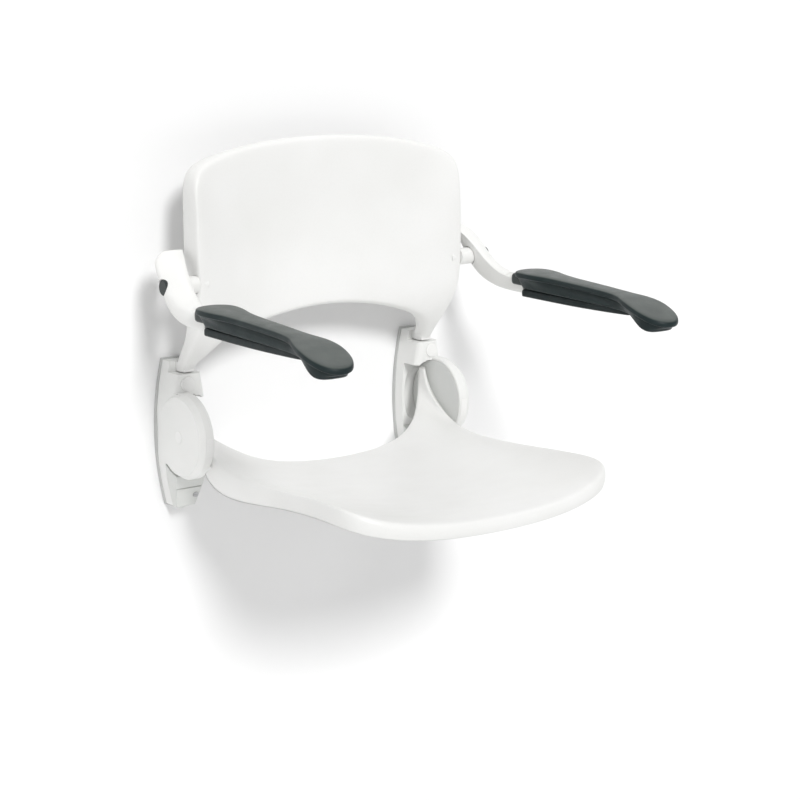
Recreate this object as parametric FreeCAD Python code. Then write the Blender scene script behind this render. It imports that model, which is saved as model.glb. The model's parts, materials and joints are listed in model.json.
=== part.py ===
import FreeCAD, Part
import os

from FreeCAD import Vector

# Wall-hung fold-up shower chair. Millimetres; +X right along the wall, +Y into the wall, +Z up.
# The origin is the centre of the wall screw pattern, on the wall.
# Everything at the side is drawn for the right-hand (+X) side and mirrored for the left.

# wall brackets
BRACKET_X = 196.0
PLATE_HALF_WIDTH = 27.0
PLATE_END_HALF_WIDTH = 14.5
PLATE_TOP_Z = 98.0
PLATE_BOTTOM_Z = -100.0
PLATE_TIP_Z = -106.0
PLATE_THICKNESS = 5.0
SCREW_X = 200.0
SCREW_Z = 70.0
SCREW_HOLE_R = 4.25
SCREW_ACCESS_R = 8.5
PLATE_SCREW_X = 211.0
PLATE_SCREW_Z = (-38.0, 38.0)
PLATE_SCREW_R = 2.2
HOUSING_BACK_Y = -5.0
HOUSING_DEPTH = 22.0
HOUSING_OUTER_X = 221.0
HOUSING_INSET = 1.0
CHEEK_BOTTOM_Z = -40.0
BLOCK_DEPTH = 52.0
BLOCK_LEDGE_Z = 83.0
BLOCK_UNDER_Z = 50.0
CAP_R = 9.95
FOOT_SCREW_X = 194.5
FOOT_SCREW_Z = 91.0
FOOT_SCREW_R = 2.5
COVER_SCREW_X = 184.0
COVER_SCREW_Z = -84.0
COVER_SCREW_R = 1.6
COVER_SCREW_HEAD_R = 3.6

# seat hinge
HINGE_Y = -60.0
HINGE_Z = 3.0
RIM_R = 57.0
DISC_FACE_R = 52.0
DISC_BEVEL = 8.0
DISC_INNER_X = 201.0
POCKET_R = 52.0
NECK_OUTER_X = 200.5
TURNING_DISC_X = 207.8
RECESS_FLOOR_X = 209.0
RECESS_R = 53.5
PIN_R = 4.5
PIN_START_X = 202.7
PIN_END_X = 217.0
PLUG_R = 8.0
BUSH_R = 6.5
THRUST_WASHER_R = 12.0
RUNNING_GAP = 0.05

# arms
ARM_Y = -96.0
ARM_Z = 208.0
ARM_BOSS_R = 11.5
ARM_HUB_R = 11.5
ARM_PIN_R = 5.0
ARM_BUSH_R = 7.5
BACK_SIDE_X = 212.0
ARM_BOSS_END_X = 234.0
ARM_INNER_X = 235.5
ARM_OUTER_X = 255.5
PIVOT_CAP_R = 10.5

# arm pads
PAD_X = 252.0
KEEL_REAR_Y = -200.0
KEEL_FRONT_Y = -400.0
KEEL_HALF_WIDTH = 12.5
BAR_X = (246.0, 258.0)
BAR_Y = (-385.0, -184.0)
BAR_Z = (167.0, 177.5)
PAD_SCREW_Y = (-238.0, -300.0, -362.0)
PAD_SCREW_R = 2.2
PAD_SCREW_HEAD_R = 4.0

# Pad outline seen from above: distance from the wall, and half width either side of PAD_X.
PAD_PLAN = [
    (189, 17), (201, 25.5), (216, 27), (245, 24.5), (300, 21), (360, 18), (395, 18.5),
    (425, 25), (449, 29.5), (466, 25.5), (477, 14),
]
# Pad seen from the side: distance from the wall and height, top then underside.
PAD_TOP = [(160, 198), (210, 200), (290, 197), (370, 193), (400, 189), (428, 181), (455, 176), (500, 168)]
PAD_UNDER = [
    (160, 188), (210, 188), (290, 185), (370, 181), (398, 175), (424, 162), (448, 153.5),
    (466, 153.5), (500, 164),
]
KEEL_UNDER = [(160, 162), (240, 162.5), (330, 164), (404, 167)]

os.makedirs("parts", exist_ok=True)


# ---------------------------------------------------------------- helpers

def mirrored(shape):
    return shape.mirror(Vector(0, 0, 0), Vector(1, 0, 0))


def save(node, shape):
    shape.exportStep("parts/%s.step" % node)


def save_pair(name, shape):
    save(name + "_right", shape)
    save(name + "_left", mirrored(shape))


def cylinder_x(radius, x0, x1, y, z):
    return Part.makeCylinder(radius, x1 - x0, Vector(x0, y, z), Vector(1, 0, 0))


def cylinder_y(radius, y0, y1, x, z):
    return Part.makeCylinder(radius, y1 - y0, Vector(x, y0, z), Vector(0, 1, 0))


def box(x0, x1, y0, y1, z0, z1):
    return Part.makeBox(x1 - x0, y1 - y0, z1 - z0, Vector(x0, y0, z0))


def smooth_loop(points):
    curve = Part.BSplineCurve()
    curve.interpolate(Points=points, PeriodicFlag=True)
    return Part.Wire([curve.toShape()])


def polygon(points):
    return Part.Wire(Part.makePolygon(points + [points[0]]))


def prism(wire, direction):
    return Part.Face(wire).extrude(direction)


def round_edges(shape, radius, wanted):
    """Fillets the edges that wanted() picks."""
    edges = [edge for edge in shape.Edges if wanted(edge)]
    return shape.makeFillet(radius, edges) if edges else shape


# ------------------------------------------------- horseshoe shells: seat and backrest

def between(inner, middle, outer, f):
    """Point at fraction f of the curve from inner through middle to outer."""
    a = inner * ((1 - f) * (1 - 2 * f))
    b = middle * (4 * f * (1 - f))
    c = outer * (f * (2 * f - 1))
    return a + b + c


def rib_section(inner, middle, outer, depth, web, inner_lip, outer_lip, sweep, edge_r):
    """Closed section of a shell: a web from inner to outer edge with a lip turned along depth at each.

    sweep leans the outer lip towards the wall, in millimetres for each millimetre of its depth.
    """
    span = (outer - inner).Length
    edge_r = min(edge_r, 0.28 * span)
    inset = min(14.0, 0.36 * span)
    thin = min(6.0, 0.26 * span)
    inner_web = min(web, inner_lip)
    outer_web = min(web, outer_lip)

    def at(distance, down):
        f = distance / span
        return between(inner, middle, outer, f) + (depth + Vector(0, sweep * f, 0)) * down

    near = 0.3 * edge_r
    inner_round = [at(0, 0.6 * inner_lip), at(0, edge_r), at(near, near), at(edge_r, 0)]
    web_points = [at(span * f, 0.0) for f in (0.35, 0.5, 0.65)]
    outer_round = [at(span - edge_r, 0), at(span - near, near), at(span, edge_r), at(span, 0.7 * outer_lip)]
    inner_end = [at(0.4 * thin, inner_lip)]
    outer_end = [at(span - 0.4 * thin, outer_lip)]
    inner_back = [at(thin, 0.8 * inner_lip), at(inset, inner_web)]
    web_back = [at(span * f, web) for f in (0.35, 0.5, 0.65)]
    outer_back = [at(span - inset, outer_web), at(span - thin, 0.8 * outer_lip)]
    front = inner_end + inner_round + web_points + outer_round + outer_end
    back = inner_end + inner_back + web_back + outer_back + outer_end
    return front, back


def even_knots(poles):
    """Clamped, evenly spaced cubic knots for that many poles."""
    knots = list(range(poles - 2))
    return knots, [4] + [1] * (len(knots) - 2) + [4]


def skin(ribs):
    """Smooth surface drawn towards a grid of points, one list per rib."""
    u_knots, u_multiplicities = even_knots(len(ribs))
    v_knots, v_multiplicities = even_knots(len(ribs[0]))
    surface = Part.BSplineSurface()
    surface.buildFromPolesMultsKnots(
        ribs, u_multiplicities, v_multiplicities, u_knots, v_knots, False, False, 3, 3)
    return surface.toShape()


def horseshoe(rows, edge_r):
    """Shell through ribs listed from the centre line to the right end, and their mirror images."""
    right = []
    left = []
    for inner, middle, outer, depth, *thickness in rows:
        section = [Vector(*inner), Vector(*middle), Vector(*outer), Vector(*depth).normalize()]
        flipped = [Vector(-p.x, p.y, p.z) for p in section]
        right.append((section, rib_section(*section, *thickness, edge_r)))
        left.append((flipped, rib_section(*flipped, *thickness, edge_r)))
    ribs = left[:0:-1] + right
    front = skin([curves[0] for _, curves in ribs])
    back = skin([curves[1] for _, curves in ribs])
    caps = []
    for section, _ in (ribs[0], ribs[-1]):
        rim = [edge for edge in front.Edges + back.Edges if ends_at(edge, section)]
        caps.append(Part.Face(Part.Wire(Part.sortEdges(rim)[0])))
    shell = Part.makeShell([front, back] + caps)
    shell.sewShape()
    solid = Part.Solid(shell)
    if solid.Volume < 0:
        solid.reverse()
    return solid


def ends_at(edge, section):
    """True when an edge joins the two lip ends of a rib."""
    inner, _, outer, _ = section
    return all((vertex.Point - inner).Length < 1.5 * (outer - inner).Length for vertex in edge.Vertexes)


# Seat ribs, from the centre line round to the top of the right neck.
# Each is: inner edge, middle, outer edge, depth direction, web, inner lip, outer lip, sweep.
SEAT_RIBS = [
    ((0, -107, -43), (0, -280, -54), (0, -460, -50), (0, 0, -1), 7, 17, 21, 0),
    ((50, -104, -42), (66, -274, -52), (96, -457, -47), (0, 0, -1), 7, 17, 21, 0),
    ((92, -97, -38), (125, -258, -46), (168, -446, -34), (0, 0, -1), 7, 18, 23, 0),
    ((122, -88, -30), (158, -236, -40), (208, -424, -17), (0.02, 0, -1), 8, 19, 26, 0),
    ((140, -79, -21), (172, -195, -37), (205, -362, -18), (0.05, 0, -1), 8, 19, 24, 0),
    ((155, -69, -12), (180, -155, -33), (203, -275, -26), (0.15, 0.05, -1), 9, 18, 22, 0),
    ((167, -56, -2), (185, -116, -27), (202, -192, -34), (0.3, 0.1, -0.9), 10, 16, 28, 0),
    ((178, -44, 7), (187, -82, -14), (199, -127, -33), (0.5, 0.25, -0.85), 10, 12, 28, 0.2),
    ((185, -33, 17), (187.5, -57, 6), (190.5, -82, -6), (1, 0, -0.15), 10, 10, 9.9, 1.1),
    ((189, -28, 31), (189, -43, 24), (189, -58, 17), (1, 0, 0), 11, 11, 11, 1.2),
    ((189, -33, 43.5), (189, -42, 43.5), (189, -51, 43.5), (1, 0, 0), 11, 11, 11, 1.2),
]

# Backrest ribs, from the centre line round to the foot of the right leg, listed the same way.
BACK_RIBS = [
    ((0, -88, 160), (0, -69, 270), (0, -66, 385), (0, 1, 0), 6, 16, 20, 0),
    ((32, -88, 159), (58, -71, 268), (95, -73, 381), (0, 1, 0), 6, 16, 23, 0),
    ((62, -87, 155), (105, -76, 262), (172, -86, 367), (0, 1, 0), 6, 16, 29, 0),
    ((90, -86, 150), (140, -84, 250), (212, -99, 351), (0, 1, 0), 6, 17, 33, 0),
    ((112, -85, 144), (160, -92, 228), (213, -105, 312), (0, 1, 0), 6, 18, 36, 0),
    ((132, -83, 138), (174, -97, 198), (213, -106, 262), (0, 1, 0), 6, 18, 38, 0),
    ((150, -80, 131), (184, -99, 172), (213, -106, 216), (0, 1, 0), 7, 18, 36, 0),
    ((164, -76, 121), (190, -95, 148), (213, -103, 176), (0, 1, 0), 8, 18, 33, 0),
    ((173, -69, 111), (192, -84, 131), (209, -94, 150), (0, 0.95, -0.3), 10, 23, 29, 0),
    ((180, -60, 101), (193, -69, 113), (205, -77, 124), (0, 0.96, -0.27), 15, 28, 35, 0),
    ((184, -50, 94), (194, -53, 98), (204, -56, 101), (0, 0.98, -0.2), 19, 22, 28, 0),
    ((185, -44, 84.5), (194.5, -44, 84.5), (204, -44, 84.5), (0, 1, 0), 19, 19, 19, 0),
]


# ---------------------------------------------------------------- seat

def seat_shell():
    """Dished seat whose two necks rise to the turning discs of the hinge."""
    seat = horseshoe(SEAT_RIBS, 8.0)
    disc_side = cylinder_x(RIM_R + 3.0, NECK_OUTER_X, 230.0, HINGE_Y, HINGE_Z)
    return seat.cut(disc_side).cut(mirrored(disc_side))


def turning_disc():
    """Disc fixed to the outside of the seat's neck; it turns in the round recess of the bracket."""
    disc = cylinder_x(RECESS_R - 0.4, NECK_OUTER_X, TURNING_DISC_X, HINGE_Y, HINGE_Z)
    disc = round_edges(disc, 0.8, lambda edge: edge.CenterOfMass.x < NECK_OUTER_X + 0.1)
    return disc.cut(cylinder_x(BUSH_R, PIN_START_X - 0.2, 230.0, HINGE_Y, HINGE_Z))


def hinge_bush():
    bush = cylinder_x(BUSH_R - 0.02, PIN_START_X - 0.2, TURNING_DISC_X, HINGE_Y, HINGE_Z)
    return bush.cut(cylinder_x(PIN_R + RUNNING_GAP, 190.0, 230.0, HINGE_Y, HINGE_Z))


# ---------------------------------------------------------------- wall brackets

def half_width(z):
    """Half width of the boat-shaped bracket outline at height z."""
    return PLATE_HALF_WIDTH - (PLATE_HALF_WIDTH - PLATE_END_HALF_WIDTH) * (z / 100.0) ** 2


def bracket_outline(y, inset):
    """Boat shape seen from the front: bowed sides, flat top, shallow point at the bottom."""
    heights = [PLATE_BOTTOM_Z + inset, -50.0, 0.0, 50.0, PLATE_TOP_Z - inset]
    outer = [Vector(BRACKET_X + half_width(z) - inset, y, z) for z in heights]
    inner = [Vector(BRACKET_X - half_width(z) + inset, y, z) for z in reversed(heights)]
    tip = Vector(BRACKET_X, y, PLATE_TIP_Z + inset)
    sides = []
    for points in (outer, inner):
        curve = Part.BSplineCurve()
        curve.interpolate(points)
        sides.append(curve.toShape())
    top = Part.makeLine(outer[-1], inner[0])
    to_tip = Part.makeLine(inner[-1], tip)
    from_tip = Part.makeLine(tip, outer[0])
    return Part.Wire([sides[0], top, sides[1], to_tip, from_tip])


def wall_screw_cut(radius, y0, y1):
    low = cylinder_y(radius, y0, y1, SCREW_X, -SCREW_Z)
    return cylinder_y(radius, y0, y1, SCREW_X, SCREW_Z).fuse(low)


def wall_plate():
    """Flat steel plate against the wall, with the two wall screw holes."""
    plate = prism(bracket_outline(0.0, 0.0), Vector(0, -PLATE_THICKNESS, 0))
    plate = plate.cut(wall_screw_cut(SCREW_HOLE_R, -30.0, 10.0))
    for z in PLATE_SCREW_Z:
        plate = plate.cut(cylinder_y(PLATE_SCREW_R, -10.0, 1.0, PLATE_SCREW_X, z))
        plate = plate.cut(cylinder_y(2.0 * PLATE_SCREW_R + 0.1, -2.6, 1.0, PLATE_SCREW_X, z))
    return plate


def plate_screws():
    """Two screws driven from behind that hold the housing to the wall plate."""
    screws = []
    for z in PLATE_SCREW_Z:
        head = cylinder_y(2.0 * PLATE_SCREW_R, -2.6, -0.3, PLATE_SCREW_X, z)
        shank = cylinder_y(PLATE_SCREW_R - 0.02, -25.0, -2.6, PLATE_SCREW_X, z)
        screws.append(head.fuse(shank).Solids[0])
    return Part.makeCompound(screws)


def hinge_disc():
    """Round end of the outer cheek, with a bevelled face and a shallow recess on its inner side."""
    face = [
        Vector(DISC_INNER_X, HINGE_Y, HINGE_Z),
        Vector(DISC_INNER_X, HINGE_Y, HINGE_Z + RIM_R - 1.5),
        Vector(DISC_INNER_X + 1.5, HINGE_Y, HINGE_Z + RIM_R),
        Vector(HOUSING_OUTER_X - DISC_BEVEL, HINGE_Y, HINGE_Z + RIM_R),
        Vector(HOUSING_OUTER_X, HINGE_Y, HINGE_Z + DISC_FACE_R),
        Vector(HOUSING_OUTER_X, HINGE_Y, HINGE_Z),
    ]
    return Part.Face(polygon(face)).revolve(Vector(0, HINGE_Y, HINGE_Z), Vector(1, 0, 0), 360)


def cheek():
    """Outer flank that fills the space between the disc and the wall."""
    flank = box(DISC_INNER_X, HOUSING_OUTER_X, HINGE_Y, HOUSING_BACK_Y, CHEEK_BOTTOM_Z, BLOCK_UNDER_Z + 8.0)
    return flank.common(prism(bracket_outline(0.0, HOUSING_INSET), Vector(0, -130.0, 0)))


def pocket():
    """Round hollow that the top of the seat's neck turns in."""
    hollow = cylinder_x(POCKET_R, 175.0, DISC_INNER_X, HINGE_Y, HINGE_Z)
    return round_edges(hollow, 14.0, lambda edge: edge.CenterOfMass.x < 180.0 and edge.Length > 200.0)


def lower_block():
    """Tapered block below the disc that the clip-on cover makes."""
    points = [
        Vector(160.0, -HOUSING_DEPTH - 0.2, -40.0),
        Vector(160.0, -50.0, -40.0),
        Vector(160.0, -48.0, -56.0),
        Vector(160.0, -32.0, -99.0),
        Vector(160.0, -HOUSING_DEPTH - 0.2, -103.0),
    ]
    block = prism(polygon(points), Vector(70.0, 0, 0))
    block = block.common(prism(bracket_outline(0.0, HOUSING_INSET), Vector(0, -130.0, 0)))
    block = block.cut(cylinder_x(RIM_R + 0.4, 150.0, 230.0, HINGE_Y, HINGE_Z))
    return block.cut(box(150.0, 230.0, -60.0, 0.0, CHEEK_BOTTOM_Z - 0.5, 0.0))


def rim_insert():
    """Small stop block let into the front of the disc's rim."""
    front_y = HINGE_Y - RECESS_R - 0.5
    block = box(DISC_INNER_X + 2.0, HOUSING_OUTER_X - DISC_BEVEL, -130.0, front_y, -15.0, 10.0)
    ring = cylinder_x(RIM_R + 0.3, 190.0, 230.0, HINGE_Y, HINGE_Z)
    return block.common(ring)


def upper_block():
    """Block over the hinge: ledge for the backrest's foot, big radius on its outer front corner."""
    outline = prism(bracket_outline(0.0, HOUSING_INSET), Vector(0, -130.0, 0))
    block = box(160.0, 230.0, -BLOCK_DEPTH, HOUSING_BACK_Y, BLOCK_UNDER_Z, BLOCK_LEDGE_Z)
    block = block.common(outline)
    block = round_edges(block, 11.0, lambda edge: is_block_corner(edge, 205.0, 230.0))
    return round_edges(block, 9.0, lambda edge: is_block_corner(edge, 160.0, 190.0))


def is_block_corner(edge, x0, x1):
    middle = edge.valueAt(0.5 * (edge.FirstParameter + edge.LastParameter))
    at_front = abs(middle.y + BLOCK_DEPTH) < 0.1
    return x0 < middle.x < x1 and at_front and BLOCK_UNDER_Z + 5.0 < middle.z < BLOCK_LEDGE_Z - 3.0


def base_strip():
    """Long boat-shaped base of the housing, deepest below the ledge."""
    outline = prism(bracket_outline(0.0, HOUSING_INSET), Vector(0, -130.0, 0))
    lower = box(160.0, HOUSING_OUTER_X, -HOUSING_DEPTH, HOUSING_BACK_Y, -120.0, BLOCK_UNDER_Z + 1.0)
    upper = box(160.0, 230.0, -24.0, HOUSING_BACK_Y, BLOCK_UNDER_Z, PLATE_TOP_Z - 1.5)
    return lower.fuse(upper).common(outline)


def housing():
    """Moulded housing: base strip, upper block, outer cheek and hinge disc in one piece."""
    body = base_strip().fuse(upper_block()).fuse(cheek())
    body = body.cut(pocket()).fuse(hinge_disc())
    body = body.cut(box(150.0, 240.0, HOUSING_BACK_Y, 20.0, -120.0, 120.0))
    body = body.cut(cylinder_x(RECESS_R, 190.0, RECESS_FLOOR_X, HINGE_Y, HINGE_Z))
    body = body.cut(cylinder_x(PIN_R, 190.0, PIN_END_X, HINGE_Y, HINGE_Z))
    body = body.cut(cylinder_x(PLUG_R, PIN_END_X, 230.0, HINGE_Y, HINGE_Z))
    body = body.cut(rim_insert())
    body = body.cut(wall_screw_cut(SCREW_ACCESS_R, -BLOCK_DEPTH + 4.0, 10.0))
    body = body.cut(cylinder_y(CAP_R + 0.05, -80.0, -BLOCK_DEPTH + 4.0, SCREW_X, SCREW_Z))
    body = body.cut(cylinder_y(FOOT_SCREW_R, -60.0, 10.0, FOOT_SCREW_X, FOOT_SCREW_Z))
    body = body.cut(cylinder_y(2.0 * FOOT_SCREW_R, -11.0, 10.0, FOOT_SCREW_X, FOOT_SCREW_Z))
    for z in PLATE_SCREW_Z:
        body = body.cut(cylinder_y(PLATE_SCREW_R, -25.5, 1.0, PLATE_SCREW_X, z))
    return body.cut(cylinder_y(COVER_SCREW_R, -40.0, -12.0, COVER_SCREW_X, COVER_SCREW_Z))


def lower_cover():
    """Clip-on cover over the lower wall screw: hollow, with a finger groove across its front."""
    cover = lower_block()
    cover = cover.cut(cylinder_y(SCREW_ACCESS_R + 2.0, -30.0, 0.0, SCREW_X, -SCREW_Z))
    cover = cover.cut(box(150.0, 230.0, -60.0, -40.6, -72.6, -71.4))
    cover = cover.cut(cylinder_y(COVER_SCREW_HEAD_R + 0.1, -60.0, -36.4, COVER_SCREW_X, COVER_SCREW_Z))
    return cover.cut(cylinder_y(COVER_SCREW_R, -60.0, 0.0, COVER_SCREW_X, COVER_SCREW_Z))


def cover_screw():
    head = cylinder_y(COVER_SCREW_HEAD_R, -39.2, -36.4, COVER_SCREW_X, COVER_SCREW_Z)
    shank = cylinder_y(COVER_SCREW_R - 0.05, -36.4, -13.0, COVER_SCREW_X, COVER_SCREW_Z)
    slot_z = (COVER_SCREW_Z - 0.5, COVER_SCREW_Z + 0.5)
    slot = box(COVER_SCREW_X - 5.0, COVER_SCREW_X + 5.0, -40.0, -38.2, *slot_z)
    return head.fuse(shank).cut(slot)


def screw_cap():
    """Round push-in cap over the upper wall screw."""
    cap = cylinder_y(CAP_R, -BLOCK_DEPTH - 1.2, -BLOCK_DEPTH + 3.9, SCREW_X, SCREW_Z)
    return round_edges(cap, 1.0, lambda edge: abs(edge.CenterOfMass.y + BLOCK_DEPTH + 1.2) < 0.01)


def hinge_pin():
    return cylinder_x(PIN_R - 0.02, PIN_START_X, PIN_END_X - 0.1, HINGE_Y, HINGE_Z)


def hinge_plug():
    plug = cylinder_x(PLUG_R - 0.05, PIN_END_X, HOUSING_OUTER_X + 0.6, HINGE_Y, HINGE_Z)
    return round_edges(plug, 0.5, lambda edge: edge.CenterOfMass.x > HOUSING_OUTER_X)


def thrust_washer():
    """Washer between the turning disc and the floor of its recess."""
    washer = cylinder_x(THRUST_WASHER_R, TURNING_DISC_X + 0.1, RECESS_FLOOR_X, HINGE_Y, HINGE_Z)
    return washer.cut(cylinder_x(PIN_R, 190.0, 230.0, HINGE_Y, HINGE_Z))


# ---------------------------------------------------------------- backrest

def backrest_shell():
    """Concave back with a deep side flange, arched below between two legs."""
    back = horseshoe(BACK_RIBS, 9.0)
    boss = cylinder_x(8.0, 196.0, BACK_SIDE_X - 4.0, ARM_Y, ARM_Z)
    bore = cylinder_x(ARM_PIN_R, 197.0, 230.0, ARM_Y, ARM_Z)
    seat_face = cylinder_x(ARM_BOSS_R + 0.5, BACK_SIDE_X - 1.0, 240.0, ARM_Y, ARM_Z)
    foot = box(186.5, 202.5, -46.0, -24.1, 84.6, 96.0)
    screw = cylinder_y(FOOT_SCREW_R, -42.0, 0.0, FOOT_SCREW_X, FOOT_SCREW_Z)
    for part in (boss, foot):
        back = back.fuse(part).fuse(mirrored(part))
    for part in (seat_face, bore, screw):
        back = back.cut(part).cut(mirrored(part))
    return back


def foot_screw():
    """Hidden screw that holds a leg of the backrest against the bracket."""
    head = cylinder_y(2.0 * FOOT_SCREW_R - 0.2, -11.0, -6.2, FOOT_SCREW_X, FOOT_SCREW_Z)
    return head.fuse(cylinder_y(FOOT_SCREW_R - 0.05, -41.5, -11.0, FOOT_SCREW_X, FOOT_SCREW_Z))


def arm_boss():
    """Spacer that stands out from the side of the backrest and carries the arm."""
    boss = cylinder_x(ARM_BOSS_R, BACK_SIDE_X - 1.0, ARM_BOSS_END_X, ARM_Y, ARM_Z)
    boss = round_edges(boss, 1.2, lambda edge: edge.CenterOfMass.x > ARM_BOSS_END_X - 0.01)
    return boss.cut(cylinder_x(ARM_PIN_R, 200.0, 240.0, ARM_Y, ARM_Z))


def arm_washer():
    washer = cylinder_x(9.0, ARM_BOSS_END_X, ARM_INNER_X - 0.05, ARM_Y, ARM_Z)
    return washer.cut(cylinder_x(ARM_PIN_R, 200.0, 240.0, ARM_Y, ARM_Z))


def arm_pin():
    """Steel pivot with a flat head outside the arm."""
    pin = cylinder_x(ARM_PIN_R - 0.02, 197.2, ARM_OUTER_X + 0.1, ARM_Y, ARM_Z)
    return pin.fuse(cylinder_x(ARM_BUSH_R, ARM_OUTER_X + 0.1, ARM_OUTER_X + 2.2, ARM_Y, ARM_Z))


# ---------------------------------------------------------------- arms

# Stations along the arm from its tail to the pad: the four corners of its section,
# upper inner, upper outer, lower outer and lower inner.
ARM_STATIONS = [
    ((217, -76, 251.5), (240, -66, 250), (240, -60, 247), (217, -66, 246)),
    ((220, -86, 246), (255, -70, 243), (254, -63, 238), (221, -72, 236)),
    ((226, -100, 238), (259, -80, 235), (258, -71, 229), (227, -80, 220)),
    ((230, -117, 226), (261, -96, 221), (261, -86, 212), (231, -93, 190)),
    ((233, -136, 209), (262, -114, 204), (264, -104, 189), (236, -108, 176)),
    ((236, -156, 195), (264, -136, 193), (266, -127, 171), (240, -128, 169)),
    ((240, -177, 189), (264, -164, 189), (265, -156, 165), (242, -152, 164.5)),
    ((243, -205, 187.8), (262, -205, 187.8), (262, -205, 165), (243, -205, 165)),
]


def corner_loop(corners):
    """Closed section through four corners, each rounded by two points beside it."""
    points = []
    for k, corner in enumerate(corners):
        before = Vector(*corners[k - 1])
        after = Vector(*corners[(k + 1) % 4])
        here = Vector(*corner)
        points.append(here + (before - here) * 0.18)
        points.append(here + (after - here) * 0.18)
    return points


def arm_beam():
    """S-shaped arm, deep on its inner side at the pivot, ending in a tongue inside the pad."""
    rings = [corner_loop(station) for station in ARM_STATIONS]
    rings = [ring + [ring[0]] for ring in rings]
    side = skin(rings)
    caps = []
    for ring in (rings[0], rings[-1]):
        caps.append(end_cap(side, ring))
    shell = Part.makeShell([side] + caps)
    shell.sewShape()
    beam = Part.Solid(shell)
    if beam.Volume < 0:
        beam.reverse()
    hub = cylinder_x(ARM_HUB_R, ARM_INNER_X, ARM_OUTER_X, ARM_Y, ARM_Z)
    room = cylinder_x(ARM_HUB_R + 1.0, 200.0, ARM_INNER_X, ARM_Y, ARM_Z)
    outer_room = cylinder_x(PIVOT_CAP_R + 0.3, ARM_OUTER_X, 290.0, ARM_Y, ARM_Z)
    beam = beam.fuse(hub).cut(room).cut(outer_room)
    beam = beam.cut(bar_room()).cut(box(200.0, 300.0, -250.0, -165.0, 187.8, 300.0))
    beam = beam.cut(box(200.0, 300.0, -250.0, KEEL_REAR_Y + 0.1, 100.0, 300.0))
    return beam.cut(cylinder_x(ARM_BUSH_R, 200.0, 290.0, ARM_Y, ARM_Z))


def bar_room():
    """Space that the bar takes up, with a little clearance all round."""
    x0, x1 = BAR_X
    y0, y1 = BAR_Y
    z0, z1 = BAR_Z
    return box(x0 - 0.05, x1 + 0.05, y0 - 1.0, y1 + 0.1, z0 - 0.05, z1 + 0.05)


def end_cap(side, ring):
    centre = sum(ring[1:], Vector()) * (1.0 / (len(ring) - 1))
    edges = [edge for edge in side.Edges if edge.isClosed()]
    edges.sort(key=lambda edge: (edge.CenterOfMass - centre).Length)
    return Part.makeFilledFace([edges[0]])


def arm_bush():
    bush = cylinder_x(ARM_BUSH_R - 0.02, ARM_INNER_X + 0.2, ARM_OUTER_X - 0.2, ARM_Y, ARM_Z)
    return bush.cut(cylinder_x(ARM_PIN_R + RUNNING_GAP, 200.0, 290.0, ARM_Y, ARM_Z))


def pivot_cap():
    """Dark cap over the outer end of the arm's pivot."""
    cap = cylinder_x(PIVOT_CAP_R, ARM_OUTER_X, ARM_OUTER_X + 4.5, ARM_Y, ARM_Z)
    cap = round_edges(cap, 2.0, lambda edge: edge.CenterOfMass.x > ARM_OUTER_X + 4.0)
    return cap.cut(cylinder_x(ARM_BUSH_R + 0.5, 250.0, ARM_OUTER_X + 2.8, ARM_Y, ARM_Z))


def smooth_edge(points):
    curve = Part.BSplineCurve()
    curve.interpolate(points)
    return curve.toShape()


def pad_plan():
    """Closed plan outline of the pad: round rear, waist, wide round front."""
    right = [Vector(PAD_X + half, -far, 0) for far, half in PAD_PLAN]
    left = [Vector(PAD_X - half, -far, 0) for far, half in reversed(PAD_PLAN)]
    rear = Vector(PAD_X, -PAD_PLAN[0][0] + 5.0, 0)
    front = Vector(PAD_X, -PAD_PLAN[-1][0] - 4.0, 0)
    return smooth_loop([rear] + right + [front] + left)


def side_profile(top, under, x0, x1):
    """Solid between an upper and a lower side curve, from x0 to x1."""
    upper = smooth_edge([Vector(x0, -y, z) for y, z in top])
    lower = smooth_edge([Vector(x0, -y, z) for y, z in under])
    front = Part.makeLine(Vector(x0, -top[-1][0], top[-1][1]), Vector(x0, -under[-1][0], under[-1][1]))
    rear = Part.makeLine(Vector(x0, -top[0][0], top[0][1]), Vector(x0, -under[0][0], under[0][1]))
    return prism(Part.Wire([upper, front, lower, rear]), Vector(x1 - x0, 0, 0))


def arm_pad():
    """Soft pad: round at the rear, waisted, with a wide drooping round front."""
    column = prism(pad_plan(), Vector(0, 0, 300))
    pad = column.common(side_profile(PAD_TOP, PAD_UNDER, PAD_X - 40, PAD_X + 40))
    pad = round_edges(pad, 4.8, lambda edge: edge.Length > 300.0)
    for y in PAD_SCREW_Y:
        pad = pad.cut(Part.makeCylinder(PAD_SCREW_R, 40.0, Vector(PAD_X, y, 152.0)))
    return pad


def arm_keel():
    """Slimmer lower half of the pad, clamped round the bar of the arm."""
    left = PAD_X - KEEL_HALF_WIDTH
    right = PAD_X + KEEL_HALF_WIDTH
    lowered = [(y, z - 0.1) for y, z in PAD_UNDER]
    keel = side_profile([(160.0, 210.0), (404.0, 210.0)], KEEL_UNDER, left, right)
    keel = keel.common(side_profile(lowered, [(160.0, 100.0), (500.0, 100.0)], left, right))
    keel = keel.common(box(left, right, KEEL_FRONT_Y, KEEL_REAR_Y, 100.0, 250.0))
    keel = round_edges(keel, 4.0, is_keel_corner).cut(bar_room())
    for y in PAD_SCREW_Y:
        keel = keel.cut(Part.makeCylinder(PAD_SCREW_R, 60.0, Vector(PAD_X, y, 150.0)))
        keel = keel.cut(Part.makeCylinder(PAD_SCREW_HEAD_R + 0.1, 17.0, Vector(PAD_X, y, 150.0)))
    return keel


def is_keel_corner(edge):
    middle = edge.valueAt(0.5 * (edge.FirstParameter + edge.LastParameter))
    return middle.z < 172.0 and abs(abs(middle.x - PAD_X) - KEEL_HALF_WIDTH) < 0.01


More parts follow.
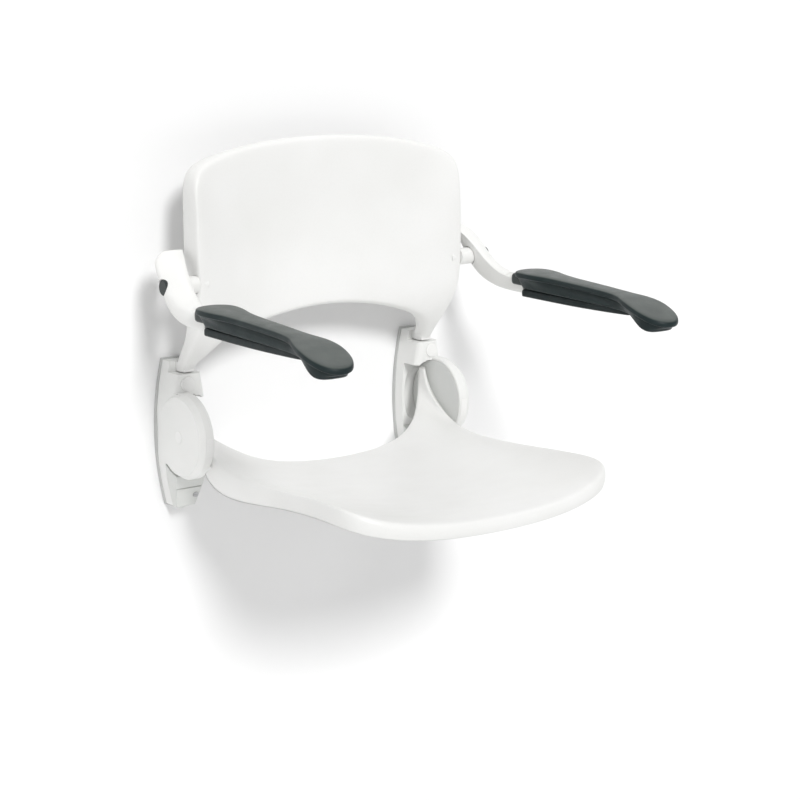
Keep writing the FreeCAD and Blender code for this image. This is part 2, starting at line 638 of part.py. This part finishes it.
def arm_bar():
    """Square steel bar that joins the arm to the pad."""
    bar = box(*BAR_X, *BAR_Y, *BAR_Z)
    for y in PAD_SCREW_Y:
        bar = bar.cut(Part.makeCylinder(PAD_SCREW_R, 60.0, Vector(PAD_X, y, 150.0)))
    return bar


def pad_screws():
    """Three screws from under the keel through the bar into the pad."""
    screws = []
    for y in PAD_SCREW_Y:
        shank = Part.makeCylinder(PAD_SCREW_R - 0.02, 22.5, Vector(PAD_X, y, 166.5))
        head = Part.makeCylinder(PAD_SCREW_HEAD_R, 1.6, Vector(PAD_X, y, 165.4))
        screws.append(shank.fuse(head).Solids[0])
    return Part.makeCompound(screws)


# parts made once for each side
PAIRS = [
    ("wall_plate", wall_plate),
    ("housing", housing),
    ("lower_cover", lower_cover),
    ("cover_screw", cover_screw),
    ("screw_cap", screw_cap),
    ("rim_insert", rim_insert),
    ("hinge_pin", hinge_pin),
    ("hinge_plug", hinge_plug),
    ("turning_disc", turning_disc),
    ("thrust_washer", thrust_washer),
    ("hinge_bush", hinge_bush),
    ("foot_screw", foot_screw),
    ("plate_screws", plate_screws),
    ("arm_boss", arm_boss),
    ("arm_pin", arm_pin),
    ("arm_washer", arm_washer),
    ("arm_beam", arm_beam),
    ("arm_bush", arm_bush),
    ("pivot_cap", pivot_cap),
    ("arm_pad", arm_pad),
    ("arm_keel", arm_keel),
    ("arm_bar", arm_bar),
    ("pad_screws", pad_screws),
]


def save_all():
    save("seat_shell", seat_shell())
    save("backrest_shell", backrest_shell())
    for name, make in PAIRS:
        save_pair(name, make())


save_all()
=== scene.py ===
import json
import math

import bmesh
import bpy
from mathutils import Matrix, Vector


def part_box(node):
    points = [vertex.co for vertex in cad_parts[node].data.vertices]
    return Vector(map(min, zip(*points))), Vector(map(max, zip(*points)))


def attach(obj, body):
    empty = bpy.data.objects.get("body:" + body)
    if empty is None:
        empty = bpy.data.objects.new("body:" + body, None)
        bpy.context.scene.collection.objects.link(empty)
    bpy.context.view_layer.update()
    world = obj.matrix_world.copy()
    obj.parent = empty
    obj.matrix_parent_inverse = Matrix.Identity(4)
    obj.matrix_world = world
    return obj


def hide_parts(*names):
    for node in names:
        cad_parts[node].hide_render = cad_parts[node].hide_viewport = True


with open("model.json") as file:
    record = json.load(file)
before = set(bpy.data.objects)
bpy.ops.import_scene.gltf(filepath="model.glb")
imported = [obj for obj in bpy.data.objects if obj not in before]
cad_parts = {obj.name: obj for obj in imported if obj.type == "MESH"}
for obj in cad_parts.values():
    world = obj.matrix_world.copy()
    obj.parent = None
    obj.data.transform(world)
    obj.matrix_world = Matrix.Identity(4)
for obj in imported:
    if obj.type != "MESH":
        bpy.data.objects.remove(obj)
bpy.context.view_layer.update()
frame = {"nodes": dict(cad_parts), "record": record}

scene = bpy.context.scene
scene.view_settings.view_transform = "Standard"

# ---------------------------------------------------------------- camera

CAMERA_PLACE = (-1.5260, -2.3028, 0.6075)
CAMERA_TURN = -36.575
CAMERA_PITCH_DOWN = 12.138
CAMERA_LENS = 91.49

camera_data = bpy.data.cameras.new("camera")
camera_data.sensor_width = 36.0
camera_data.lens = CAMERA_LENS
camera = bpy.data.objects.new("camera", camera_data)
camera.location = CAMERA_PLACE
camera.rotation_euler = (math.radians(90.0 - CAMERA_PITCH_DOWN), 0.0, math.radians(CAMERA_TURN))
scene.collection.objects.link(camera)
scene.camera = camera


# ---------------------------------------------------------------- node helpers

class Nodes:
    """Short ways to add and join the nodes of one material."""

    BEVEL_SAMPLES = 6

    def __init__(self, name):
        self.material = bpy.data.materials.new(name)
        self.material.use_nodes = True
        self.tree = self.material.node_tree
        self.tree.nodes.clear()
        self.out = self.tree.nodes.new("ShaderNodeOutputMaterial")
        places = self.tree.nodes.new("ShaderNodeTexCoord")
        self.coords = places.outputs["Object"]
        self.facing = places.outputs["Normal"]

    def add(self, kind, **inputs):
        node = self.tree.nodes.new(kind)
        for name, value in inputs.items():
            self.put(node, name.replace("_", " "), value)
        return node

    def put(self, node, name, value):
        if isinstance(value, bpy.types.NodeSocket):
            self.tree.links.new(value, node.inputs[name])
        else:
            node.inputs[name].default_value = value

    def noise(self, scale, detail=3.0, stretch=(1, 1, 1), roughness=0.55):
        mapping = self.add("ShaderNodeMapping", Vector=self.coords, Scale=stretch)
        texture = self.add("ShaderNodeTexNoise", Vector=mapping.outputs[0], Scale=scale, Detail=detail)
        texture.inputs["Roughness"].default_value = roughness
        return texture.outputs["Fac"]

    def span(self, value, low, high, start=0.0, end=1.0):
        """Maps value from start..end to low..high."""
        node = self.tree.nodes.new("ShaderNodeMapRange")
        self.put(node, "Value", value)
        self.put(node, "From Min", start)
        self.put(node, "From Max", end)
        self.put(node, "To Min", low)
        self.put(node, "To Max", high)
        return node.outputs["Result"]

    def mix(self, factor, first, second):
        node = self.tree.nodes.new("ShaderNodeMix")
        node.data_type = "RGBA"
        self.put(node, "Factor", factor)
        for socket, value in ((node.inputs[6], first), (node.inputs[7], second)):
            if isinstance(value, bpy.types.NodeSocket):
                self.tree.links.new(value, socket)
            else:
                socket.default_value = (*value, 1.0)
        return node.outputs[2]

    def math(self, operation, first, second):
        node = self.tree.nodes.new("ShaderNodeMath")
        node.operation = operation
        for socket, value in zip(node.inputs, (first, second)):
            if isinstance(value, bpy.types.NodeSocket):
                self.tree.links.new(value, socket)
            else:
                socket.default_value = value
        return node.outputs[0]

    def rounded(self, radius):
        """Normal that reads every edge as if it were rounded by radius metres."""
        node = self.add("ShaderNodeBevel", Radius=radius)
        node.samples = self.BEVEL_SAMPLES
        return node.outputs["Normal"]

    def edges(self, rounded_normal):
        """1 along edges, 0 on open faces."""
        geometry = self.tree.nodes.new("ShaderNodeNewGeometry")
        dot = self.tree.nodes.new("ShaderNodeVectorMath")
        dot.operation = "DOT_PRODUCT"
        self.tree.links.new(rounded_normal, dot.inputs[0])
        self.tree.links.new(geometry.outputs["Normal"], dot.inputs[1])
        return self.span(dot.outputs["Value"], 1.0, 0.0, 0.80, 0.995)

    def bump(self, height, strength, distance, normal=None):
        node = self.add("ShaderNodeBump", Height=height, Strength=strength, Distance=distance)
        if normal is not None:
            self.tree.links.new(normal, node.inputs["Normal"])
        return node.outputs["Normal"]

    def finish(self, **inputs):
        shader = self.tree.nodes.new("ShaderNodeBsdfPrincipled")
        for name, value in inputs.items():
            self.put(shader, name.replace("_", " "), value)
        self.tree.links.new(shader.outputs[0], self.out.inputs["Surface"])
        return self.material


# ---------------------------------------------------------------- materials

def moulded(name, colour, shade, roughness, grain, edge_radius=0.0012):
    """Moulded plastic: cloudy tint, fine spark-eroded grain, faint sink marks, worn lighter edges."""
    n = Nodes(name)
    normal = n.rounded(edge_radius)
    cloud = n.noise(7.0, 2.0)
    fleck = n.noise(420.0, 4.0)
    tint = n.mix(n.span(cloud, 0.0, 1.0, 0.35, 0.65), colour, shade)
    tint = n.mix(n.span(fleck, 0.0, 0.10, 0.45, 0.75), tint, [0.85 * c for c in shade])
    worn = n.math("MULTIPLY", n.edges(normal), n.span(n.noise(90.0), 0.0, 0.5, 0.4, 0.7))
    tint = n.mix(worn, tint, [min(1.0, 1.06 * c + 0.01) for c in colour])
    rub = n.noise(24.0, 5.0, (1.0, 2.6, 1.0))
    rough = n.math("ADD", n.span(rub, -0.06, 0.07, 0.3, 0.7), roughness)
    sink = n.bump(n.noise(16.0, 1.0), 0.12, 0.0012, normal)
    skin = n.bump(n.noise(2600.0, 2.0), grain, 0.00006, sink)
    return n.finish(Base_Color=tint, Roughness=rough, Normal=skin, IOR=1.46)


def powder_coat(name, colour, shade, roughness):
    """Powder coat: slight orange peel, tiny dust flecks, thin worn edges."""
    n = Nodes(name)
    normal = n.rounded(0.0010)
    cloud = n.noise(11.0, 2.0)
    tint = n.mix(n.span(cloud, 0.0, 1.0, 0.35, 0.65), colour, shade)
    worn = n.math("MULTIPLY", n.edges(normal), n.span(n.noise(160.0, 4.0), 0.0, 0.55, 0.45, 0.7))
    tint = n.mix(worn, tint, [0.80 * c for c in shade])
    rough = n.math("ADD", n.span(n.noise(45.0, 4.0), -0.05, 0.06, 0.3, 0.7), roughness)
    peel = n.bump(n.noise(520.0, 2.0), 0.25, 0.00012, normal)
    fine = n.bump(n.noise(3100.0, 1.0), 0.2, 0.00004, peel)
    return n.finish(Base_Color=tint, Roughness=rough, Normal=fine, IOR=1.5)


def soft_foam(name, colour, dusty, painted_top_colour, roughness):
    """Skinned foam: leathery pores, faces that look up painted paler as a painted highlight, and a soft
    sheen.
    """
    n = Nodes(name)
    normal = n.rounded(0.0012)
    cloud = n.noise(26.0, 4.0)
    tint = n.mix(n.span(cloud, 0.0, 0.8, 0.35, 0.7), colour, dusty)
    # Painted highlight: the more a face looks up, the paler it is painted, standing in for light falling on
    # the pad's top.
    split = n.add("ShaderNodeSeparateXYZ", Vector=n.facing)
    level = n.span(split.outputs["Z"], 0.0, 1.0, 0.50, 0.88)
    painted_top_light = n.math("MULTIPLY", level, n.span(cloud, 0.78, 1.0, 0.3, 0.6))
    tint = n.mix(painted_top_light, tint, painted_top_colour)
    worn = n.math("MULTIPLY", n.edges(normal), n.span(n.noise(140.0), 0.1, 0.7, 0.35, 0.7))
    tint = n.mix(worn, tint, [1.7 * c for c in dusty])
    cells = n.tree.nodes.new("ShaderNodeTexVoronoi")
    cells.feature = "DISTANCE_TO_EDGE"
    n.put(cells, "Vector", n.coords)
    n.put(cells, "Scale", 900.0)
    pores = n.bump(n.span(cells.outputs["Distance"], 0.0, 1.0, 0.0, 0.25), 0.28, 0.00010, normal)
    fine = n.bump(n.noise(2400.0, 3.0), 0.25, 0.00006, pores)
    rough = n.math("ADD", n.span(n.noise(60.0, 5.0), -0.07, 0.08, 0.3, 0.7), roughness)
    return n.finish(Base_Color=tint, Roughness=rough, Normal=fine, IOR=1.42, Specular_IOR_Level=0.28,
                    Sheen_Weight=0.02, Sheen_Roughness=0.4)


def metal(name, colour, roughness, stretch=(1, 1, 1), scale=900.0):
    """Bare metal: drawn or brushed lines, smudges and brighter edges."""
    n = Nodes(name)
    normal = n.rounded(0.0004)
    lines = n.noise(scale, 3.0, stretch)
    smudge = n.noise(40.0, 4.0)
    tint = n.mix(n.span(smudge, 0.0, 1.0, 0.35, 0.7), colour, [0.82 * c for c in colour])
    tint = n.mix(n.edges(normal), tint, [min(1.0, 1.2 * c) for c in colour])
    rough = n.math("ADD", n.span(lines, -0.08, 0.10, 0.3, 0.7), roughness)
    brushed = n.bump(lines, 0.2, 0.00004, normal)
    return n.finish(Base_Color=tint, Roughness=rough, Normal=brushed, Metallic=1.0)


finishes = {
    "seat_plastic": moulded("seat_plastic", (0.78, 0.78, 0.77), (0.75, 0.75, 0.735), 0.36, 0.30),
    "back_plastic": moulded("back_plastic", (0.79, 0.79, 0.78), (0.76, 0.76, 0.745), 0.38, 0.30),
    "plate_steel": powder_coat("plate_steel", (0.54, 0.55, 0.54), (0.49, 0.50, 0.49), 0.5),
    "bracket_paint": powder_coat("bracket_paint", (0.80, 0.80, 0.785), (0.77, 0.775, 0.76), 0.42),
    "bracket_cover": moulded("bracket_cover", (0.66, 0.67, 0.65), (0.62, 0.63, 0.61), 0.44, 0.4, 0.0008),
    "white_trim": moulded("white_trim", (0.82, 0.82, 0.81), (0.80, 0.80, 0.785), 0.34, 0.25, 0.0006),
    "friction_grey": moulded("friction_grey", (0.70, 0.705, 0.69), (0.66, 0.67, 0.655), 0.46, 0.4, 0.0006),
    "bush_nylon": moulded("bush_nylon", (0.66, 0.65, 0.60), (0.60, 0.59, 0.54), 0.4, 0.3, 0.0004),
    "pin_steel": metal("pin_steel", (0.58, 0.58, 0.59), 0.26, (0.05, 1, 1)),
    "bar_steel": metal("bar_steel", (0.48, 0.48, 0.49), 0.38, (1, 0.04, 1)),
    "screw_steel": metal("screw_steel", (0.55, 0.55, 0.56), 0.3),
    "arm_paint": powder_coat("arm_paint", (0.79, 0.79, 0.775), (0.76, 0.76, 0.74), 0.36),
    # Foam finishes: own colour, dusty tone, painted highlight colour for faces that look up, roughness.
    "pad_soft": soft_foam("pad_soft", (0.010, 0.019, 0.020), (0.016, 0.026, 0.027),
                          (0.098, 0.110, 0.104), 0.44),
    "keel_soft": soft_foam("keel_soft", (0.006, 0.013, 0.014), (0.011, 0.019, 0.020),
                           (0.024, 0.033, 0.033), 0.46),
    "dark_trim": moulded("dark_trim", (0.012, 0.019, 0.019), (0.018, 0.026, 0.026), 0.36, 0.3, 0.0006),
}
slot_of = {part["node"]: part["material_slot"] for part in frame["record"]["subparts"]}
for node, thing in frame["nodes"].items():
    thing.data.materials.clear()
    thing.data.materials.append(finishes[slot_of[node]])
    thing.data.polygons.foreach_set("material_index", [0] * len(thing.data.polygons))


# ---------------------------------------------------------------- pieces

def piece(name, mesh, finish, body, nodes=()):
    """A new object with that mesh and finish, riding on body and standing for the CAD nodes."""
    thing = bpy.data.objects.new(name, mesh)
    scene.collection.objects.link(thing)
    mesh.materials.append(finishes[finish])
    for face in mesh.polygons:
        face.use_smooth = True
    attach(thing, body)
    if nodes:
        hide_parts(*nodes)
    return thing


# ---------------------------------------------------------------- arm pads

# All lengths of the pads are in millimetres; d is the distance from the wall.
HALF_STEPS = 40
SMOOTH_LEVELS = 2


def along(table, d):
    """Smooth value at d of a table of (d, value) rows."""
    if d <= table[0][0]:
        return table[0][1]
    for k in range(len(table) - 1):
        (d0, v0), (d1, v1) = table[k], table[k + 1]
        if d <= d1:
            before = table[k - 1] if k else table[k]
            after = table[k + 2] if k + 2 < len(table) else table[k + 1]
            slope0 = (v1 - before[1]) / (d1 - before[0])
            slope1 = (after[1] - v0) / (after[0] - d0)
            t = (d - d0) / (d1 - d0)
            step = d1 - d0
            return ((2 * t ** 3 - 3 * t ** 2 + 1) * v0 + (t ** 3 - 2 * t ** 2 + t) * step * slope0
                    + (3 * t ** 2 - 2 * t ** 3) * v1 + (t ** 3 - t ** 2) * step * slope1)
    return table[-1][1]


def curve_through(points, dense=24):
    """Catmull-Rom curve through plan points, mirrored at both ends so that it closes smoothly."""
    padded = [(-points[1][0], points[1][1])] + points + [(-points[-2][0], points[-2][1])]
    padded = [Vector((x, d, 0.0)) for x, d in padded]
    curve = []
    for k in range(1, len(padded) - 2):
        a, b, c, e = padded[k - 1:k + 3]
        for j in range(dense):
            t = j / dense
            curve.append(0.5 * (2 * b + (c - a) * t + (2 * a - 5 * b + 4 * c - e) * t * t
                                + (3 * b - a - 3 * c + e) * t ** 3))
    curve.append(padded[-2])
    return curve


def half_outline(points):
    """HALF_STEPS + 1 evenly spaced plan points (x, d) from the rear centre round to the front centre."""
    curve = curve_through(points)
    lengths = [0.0]
    for a, b in zip(curve, curve[1:]):
        lengths.append(lengths[-1] + (b - a).length)
    result = []
    k = 0
    for step in range(HALF_STEPS + 1):
        target = lengths[-1] * step / HALF_STEPS
        while k < len(lengths) - 2 and lengths[k + 1] < target:
            k += 1
        share = (target - lengths[k]) / max(1e-9, lengths[k + 1] - lengths[k])
        result.append(curve[k].lerp(curve[k + 1], share))
    return result


def inset(outline, amount):
    """The half outline moved inwards by amount."""
    moved = []
    for k, point in enumerate(outline):
        if k == 0:
            moved.append(point + Vector((0, amount, 0)))
        elif k == len(outline) - 1:
            moved.append(point - Vector((0, amount, 0)))
        else:
            tangent = (outline[k + 1] - outline[k - 1]).normalized()
            moved.append(point + Vector((-tangent.y, tangent.x, 0)) * amount)
    return moved


def towards_spine(outline, share, margin):
    """The half outline drawn in towards the pad's centre line, which stops margin short of both ends."""
    low = outline[0].y + margin
    high = outline[-1].y - margin
    return [Vector((0, min(high, max(low, p.y)), 0)).lerp(p, share) for p in outline]


def at_height(outline, height):
    """Gives every plan point its height; height is a number or a function of the distance from the wall."""
    return [Vector((p.x, p.y, height(p.y) if callable(height) else height)) for p in outline]


def stacked(name, rings, centre_x):
    """Closed mesh through symmetric rings given as half outlines, in millimetres from the wall."""
    bm = bmesh.new()
    loops = []
    for ring in rings:
        right = [bm.verts.new(((centre_x + p.x) / 1000, -p.y / 1000, p.z / 1000)) for p in ring]
        left = [bm.verts.new(((centre_x - p.x) / 1000, -p.y / 1000, p.z / 1000)) for p in ring[1:-1]]
        loops.append(right + left[::-1])
    count = len(loops[0])
    for upper, lower in zip(loops, loops[1:]):
        for k in range(count):
            after = (k + 1) % count
            bm.faces.new((upper[k], upper[after], lower[after], lower[k]))
    for loop in (loops[0], loops[-1]):
        for k in range(HALF_STEPS):
            near = [loop[k], loop[k + 1]]
            far = [loop[(count - k - 1) % count], loop[(count - k) % count]]
            corners = []
            for corner in near + far:
                if corner not in corners:
                    corners.append(corner)
            bm.faces.new(corners)
    bmesh.ops.recalc_face_normals(bm, faces=bm.faces)
    mesh = bpy.data.meshes.new(name)
    bm.to_mesh(mesh)
    bm.free()
    return mesh


def smoothed(thing):
    """Rounds a piece with a subdivision surface."""
    modifier = thing.modifiers.new("smooth", "SUBSURF")
    modifier.levels = SMOOTH_LEVELS
    modifier.render_levels = SMOOTH_LEVELS


# Half outlines in plan, as (distance from the pad's centre line, d), and heights, as (d, z).
PAD_OUTLINE = [
    (0, 187.5), (9, 189), (18, 193.5), (24.5, 202), (27, 215), (25.2, 236), (19.6, 260), (16.8, 290),
    (15.6, 340), (15.4, 378), (18.4, 398), (24.8, 414), (28.8, 431), (29.2, 447), (26, 462),
    (18.6, 474), (9.5, 480), (0, 481.5),
]
PAD_TOP = [
    (180, 198.4), (215, 199.4), (290, 196.6), (370, 193.0), (405, 189.8), (432, 184.0), (452, 177.2),
    (470, 170.6), (486, 165.0),
]
BODY_OUTLINE = [
    (0, 196), (7, 197), (12, 200.5), (14.6, 208), (15.4, 240), (15.2, 300), (15.0, 370), (16.0, 402),
    (19.6, 424), (23.4, 441), (23.0, 454), (17.6, 464.5), (9, 470), (0, 471.5),
]
BODY_UNDER = [
    (190, 174.0), (300, 172.4), (385, 170.6), (410, 169.4), (422, 167.4), (438, 159.4), (450, 153.0),
    (460, 150.8), (470, 152.4), (482, 157.0),
]
KEEL_OUTLINE = [
    (0, 200.5), (8, 200.8), (12, 203.2), (13, 208), (13, 300), (12.8, 395), (11.8, 411), (8, 416.5),
    (0, 418),
]
KEEL_UNDER = [(195, 162.6), (300, 162.4), (365, 163.6), (420, 165.4)]
KEEL_TOP_Z = 173.0
NUB_OUTLINE = [
    (0, 175.5), (7, 176), (11.5, 178.8), (13.4, 184), (13.5, 192), (13.2, 200), (11.5, 205), (7, 207.5),
    (0, 208),
]
NUB_TOP_Z = 192.0
NUB_BOTTOM_Z = 176.8

# Rounded edges, from the top down. Pad: distance in from the outline and depth below the top.
LIP_SECTION = [
    (4.2, 0.9), (2.2, 1.3), (0.8, 2.3), (0.1, 3.8), (0.0, 6.0), (0.1, 7.6), (0.8, 8.8), (2.2, 9.4),
    (3.6, 9.5),
]
# Crown of the pad's top: share of the way out from the spine and depth below the top.
TOP_CROWN = [(0.15, 0.0), (0.45, 0.15), (0.72, 0.55)]
GROOVE_INSET = 4.0
GROOVE_DROP = 10.4
# Body and keel: distance in from the outline and height above the underside.
BODY_EDGE = [(0.5, 1.5), (1.8, 0.5), (3.8, 0.0)]
BODY_EDGE_HEIGHT = 3.0
KEEL_EDGE = [(0.0, 4.5), (0.05, 2.4), (0.5, 1.0), (1.4, 0.25), (3.0, 0.0)]
# Plug: distance in from the outline and height.
NUB_EDGE = [(1.8, 191.4), (0.4, 189.6), (0.0, 187.0), (0.0, 181.5), (0.6, 178.8), (2.4, 177.1)]

# Between these distances from the wall the sides of the pad are hollow; outside them they bulge.
HOLLOW_START = 216.0
HOLLOW_START_FADE = 22.0
HOLLOW_END = 395.0
HOLLOW_END_FADE = 40.0
SIDE_RINGS = (0.0, 0.25, 0.5, 0.75, 1.0)

# How far the inner rings of each face stop short of the two ends of the outline.
PAD_TOP_MARGIN = 17.0
BODY_UNDER_MARGIN = 12.0
KEEL_TOP_MARGIN = 10.0
KEEL_UNDER_MARGIN = 8.0
NUB_MARGIN = 9.0


def bulge(d):
    """0 where the sides of the pad are hollow, rising to 1 at its two ends."""
    return min(1.0, max(0.0, (d - HOLLOW_END) / HOLLOW_END_FADE, (HOLLOW_START - d) / HOLLOW_START_FADE))


def cushion_rings():
    """Top skin, rolled lip, groove under the lip, side band and underside of one pad."""
    lip = half_outline(PAD_OUTLINE)
    body = half_outline(BODY_OUTLINE)

    def below_top(drop):
        return lambda d: along(PAD_TOP, d) - drop

    def under(rise):
        return lambda d: along(BODY_UNDER, d) + rise

    rings = [at_height(towards_spine(lip, share, PAD_TOP_MARGIN), below_top(drop))
             for share, drop in TOP_CROWN]
    for amount, drop in LIP_SECTION:
        rings.append(at_height(inset(lip, amount), below_top(drop)))
    start = at_height(inset(lip, GROOVE_INSET), below_top(GROOVE_DROP))
    end = at_height(body, under(BODY_EDGE_HEIGHT))
    for fall in SIDE_RINGS:
        ring = []
        for a, b in zip(start, end):
            share = bulge(a.y)
            inward = (1.0 - share) * (1.0 - (1.0 - fall) ** 2) + share * fall ** 1.7
            point = a.lerp(b, inward)
            point.z = a.z + (b.z - a.z) * fall
            ring.append(point)
        rings.append(ring)
    for amount, rise in BODY_EDGE:
        rings.append(at_height(inset(body, amount), under(rise)))
    bottom = inset(body, BODY_EDGE[-1][0])
    for share in (0.6, 0.2):
        rings.append(at_height(towards_spine(bottom, share, BODY_UNDER_MARGIN), under(-0.3)))
    return rings


def keel_rings():
    """Slim lower half of the pad, rounded along its lower edges."""
    keel = half_outline(KEEL_OUTLINE)

    def under(rise):
        return lambda d: along(KEEL_UNDER, d) + rise

    rings = [at_height(towards_spine(keel, 0.5, KEEL_TOP_MARGIN), KEEL_TOP_Z), at_height(keel, KEEL_TOP_Z)]
    for amount, rise in KEEL_EDGE:
        rings.append(at_height(inset(keel, amount), under(rise)))
    bottom = inset(keel, KEEL_EDGE[-1][0])
    rings.append(at_height(towards_spine(bottom, 0.3, KEEL_UNDER_MARGIN), under(0.0)))
    return rings


def nub_rings():
    """Rounded dark plug that closes the joint between arm and pad at the rear."""
    plug = half_outline(NUB_OUTLINE)
    rings = [at_height(towards_spine(plug, share, NUB_MARGIN), NUB_TOP_Z) for share in (0.4, 0.8)]
    for amount, height in NUB_EDGE:
        rings.append(at_height(inset(plug, amount), height))
    bottom = inset(plug, NUB_EDGE[-1][0])
    rings.append(at_height(towards_spine(bottom, 0.5, NUB_MARGIN), NUB_BOTTOM_Z))
    return rings


for side in ("right", "left"):
    centre = 1000 * sum(corner.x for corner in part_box("arm_pad_" + side)) / 2
    body = "arm_" + side
    cushion = piece("cushion_" + side, stacked("cushion_" + side, cushion_rings(), centre),
                    "pad_soft", body, ["arm_pad_" + side])
    smoothed(cushion)
    keel = piece("keel_" + side, stacked("keel_" + side, keel_rings(), centre),
                 "keel_soft", body, ["arm_keel_" + side])
    smoothed(keel)
    nub = piece("pad_plug_" + side, stacked("pad_plug_" + side, nub_rings(), centre), "dark_trim", body)
    smoothed(nub)


# ---------------------------------------------------------------- stage

def stage_material(name, colour):
    """Plain matt white that only shows from the front."""
    n = Nodes(name)
    geometry = n.tree.nodes.new("ShaderNodeNewGeometry")
    soft = n.mix(n.noise(3.0, 2.0), colour, [0.995 * c for c in colour])
    shader = n.add("ShaderNodeBsdfDiffuse", Color=soft)
    clear = n.tree.nodes.new("ShaderNodeBsdfTransparent")
    mixer = n.tree.nodes.new("ShaderNodeMixShader")
    n.tree.links.new(geometry.outputs["Backfacing"], mixer.inputs[0])
    n.tree.links.new(shader.outputs[0], mixer.inputs[1])
    n.tree.links.new(clear.outputs[0], mixer.inputs[2])
    n.tree.links.new(mixer.outputs[0], n.out.inputs["Surface"])
    return n.material


# The stage is in metres. The wall stands just behind the wall plates.
STAGE_WHITE = (0.88, 0.88, 0.88)
WALL_Y = 0.0006
WALL_TOP_Z = 3.2
FLOOR_Z = -0.56
FLOOR_FRONT_Y = -6.0
COVE_RADIUS = 0.20
COVE_STEPS = 12
STAGE_HALF_WIDTH = 5.0
PLATE_MIDDLE_X = sum(corner.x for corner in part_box("wall_plate_right")) / 2
OPENING_HEIGHTS = (0.096, 0.072, 0.048, 0.024, 0.0, -0.024, -0.048, -0.072, -0.098)
OPENING_MIDDLE_HALF_WIDTH = 0.026
OPENING_NARROWING = 0.0125
PLATE_HALF_HEIGHT = 0.100


def opening_half_width(z):
    """Just inside the boat-shaped wall plate, which narrows towards its ends."""
    return OPENING_MIDDLE_HALF_WIDTH - OPENING_NARROWING * min(1.0, abs(z) / PLATE_HALF_HEIGHT) ** 2


def sweep_wall():
    """Wall, cove and floor in one smooth sheet, facing the room, with an opening behind each wall plate."""
    profile = [(WALL_Y, z) for z in (WALL_TOP_Z, *OPENING_HEIGHTS, FLOOR_Z + COVE_RADIUS)]
    for step in range(1, COVE_STEPS):
        angle = math.radians(90.0 * step / COVE_STEPS)
        profile.append((WALL_Y - COVE_RADIUS * (1 - math.cos(angle)),
                        FLOOR_Z + COVE_RADIUS * (1 - math.sin(angle))))
    profile += [(WALL_Y - COVE_RADIUS, FLOOR_Z), (FLOOR_FRONT_Y, FLOOR_Z)]
    points = []
    for y, z in profile:
        outer = PLATE_MIDDLE_X + opening_half_width(z)
        inner = PLATE_MIDDLE_X - opening_half_width(z)
        columns = (-STAGE_HALF_WIDTH, -outer, -inner, inner, outer, STAGE_HALF_WIDTH)
        points += [(x, y, z) for x in columns]
    count = len(columns)
    faces = []
    for row in range(len(profile) - 1):
        for column in range(count - 1):
            behind_plate = column in (1, 3) and 1 <= row < len(OPENING_HEIGHTS)
            if not behind_plate:
                first = row * count + column
                faces.append((first, first + 1, first + count + 1, first + count))
    mesh = bpy.data.meshes.new("backdrop")
    mesh.from_pydata(points, [], faces)
    for face in mesh.polygons:
        face.use_smooth = True
    thing = bpy.data.objects.new("backdrop", mesh)
    scene.collection.objects.link(thing)
    mesh.materials.append(stage_material("backdrop", STAGE_WHITE))
    if mesh.polygons[0].normal.y > 0:
        mesh.flip_normals()


sweep_wall()


def sun(name, azimuth, elevation, strength, angle):
    """Soft sun that shines from azimuth (0 is straight in front of the wall, + is right) and elevation."""
    data = bpy.data.lights.new(name, "SUN")
    data.energy = strength
    data.angle = math.radians(angle)
    light = bpy.data.objects.new(name, data)
    a = math.radians(azimuth)
    e = math.radians(elevation)
    towards = Vector((math.sin(a) * math.cos(e), -math.cos(a) * math.cos(e), math.sin(e)))
    light.rotation_euler = towards.to_track_quat("Z", "Y").to_euler()
    scene.collection.objects.link(light)


sun("key", azimuth=-11.0, elevation=32.5, strength=1.98, angle=15.0)
sun("side", azimuth=60.0, elevation=30.0, strength=0.16, angle=30.0)
sun("fill", azimuth=-62.0, elevation=8.0, strength=0.28, angle=60.0)
sun("top", azimuth=30.0, elevation=74.0, strength=0.50, angle=30.0)
WORLD_WHITE = (1.0, 1.0, 1.0, 1.0)
WORLD_STRENGTH = 0.35
world = bpy.data.worlds.new("studio")
scene.world = world
world.use_nodes = True
background = world.node_tree.nodes["Background"]
background.inputs["Color"].default_value = WORLD_WHITE
background.inputs["Strength"].default_value = WORLD_STRENGTH
